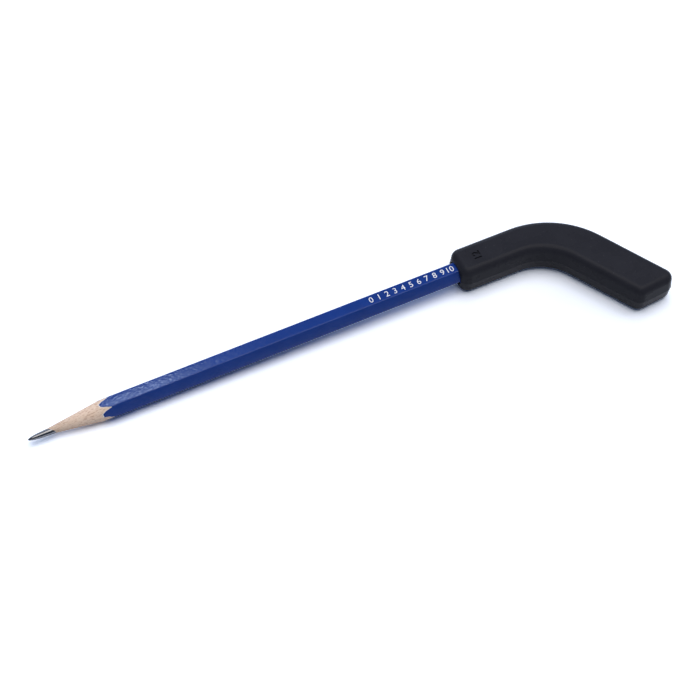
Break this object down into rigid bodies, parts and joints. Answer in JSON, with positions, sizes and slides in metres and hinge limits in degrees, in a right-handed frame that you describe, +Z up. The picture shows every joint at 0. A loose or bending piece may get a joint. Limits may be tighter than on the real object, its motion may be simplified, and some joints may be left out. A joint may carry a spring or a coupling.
{
  "type": "chewable pencil topper",
  "caption": "Bent black rubber chew topper, like a small hockey stick, pushed onto the butt end of a sharpened blue hexagonal wood pencil; it pulls off along the pencil.",
  "frame": {"origin": "on the surface it lies on, under the middle of the whole object's box", "axes": "+X along the pencil from its point to the topper, +Z up out of the surface, the topper's blade bends towards -Y"},
  "size_m": [0.2198, 0.045, 0.012],
  "materials": {
    "topper_rubber": "matte moulded",
    "graphite": "burnished",
    "casing_wood": "cut, unfinished",
    "blue_lacquer": "gloss paint"
  },
  "bodies": {
    "pencil": {"graphite_core": "graphite", "upper_wood_slat": "casing_wood", "lower_wood_slat": "casing_wood", "lacquer_coat": "blue_lacquer"},
    "topper": {"chew_topper": "topper_rubber"}
  },
  "joints": [
    {"name": "topper_pull", "type": "slide", "parent": "pencil", "child": "topper", "axis": [1, 0, 0], "range_m": [0, 0.026]}
  ]
}
